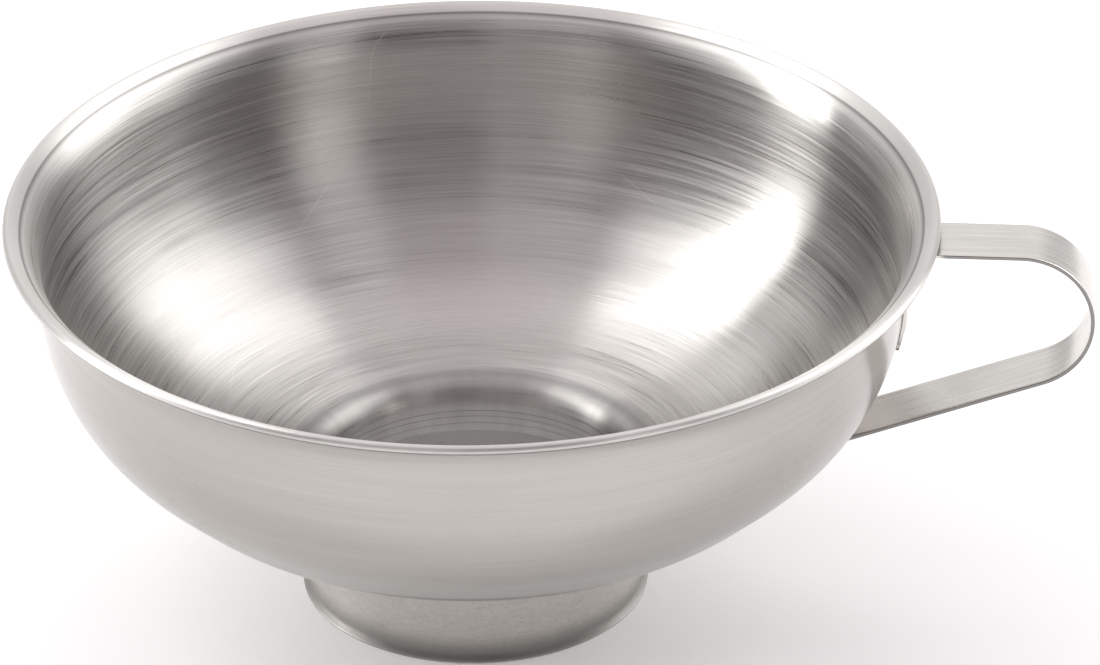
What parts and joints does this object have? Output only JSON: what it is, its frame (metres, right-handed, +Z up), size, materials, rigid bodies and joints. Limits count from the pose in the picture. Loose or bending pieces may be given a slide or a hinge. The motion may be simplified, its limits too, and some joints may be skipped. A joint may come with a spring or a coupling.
{
  "type": "canning funnel",
  "caption": "Wide-mouth sheet steel canning funnel: a flared round bowl with a folded lip, a short straight spout for jar necks and a flat bent strap handle.",
  "frame": {"origin": "on the funnel's axis, in the plane of the spout's lower edge", "axes": "+Z up along the funnel's axis, from the spout to the bowl's lip; +X out along the handle"},
  "size_m": [0.1634, 0.14, 0.0631],
  "materials": {
    "brushed_bowl": "spun and brushed inside, satin polish outside",
    "brushed_spout": "fine matt grain",
    "strap_steel": "rolled strip, grain along the strap",
    "weld_metal": "dull spot weld",
    "braze_metal": "smooth braze bead"
  },
  "bodies": {
    "root": {"bowl": "brushed_bowl", "spout": "brushed_spout", "braze_ring": "braze_metal", "handle_strap": "strap_steel", "upper_spot_welds": "weld_metal", "lower_spot_welds": "weld_metal"}
  },
  "joints": []
}
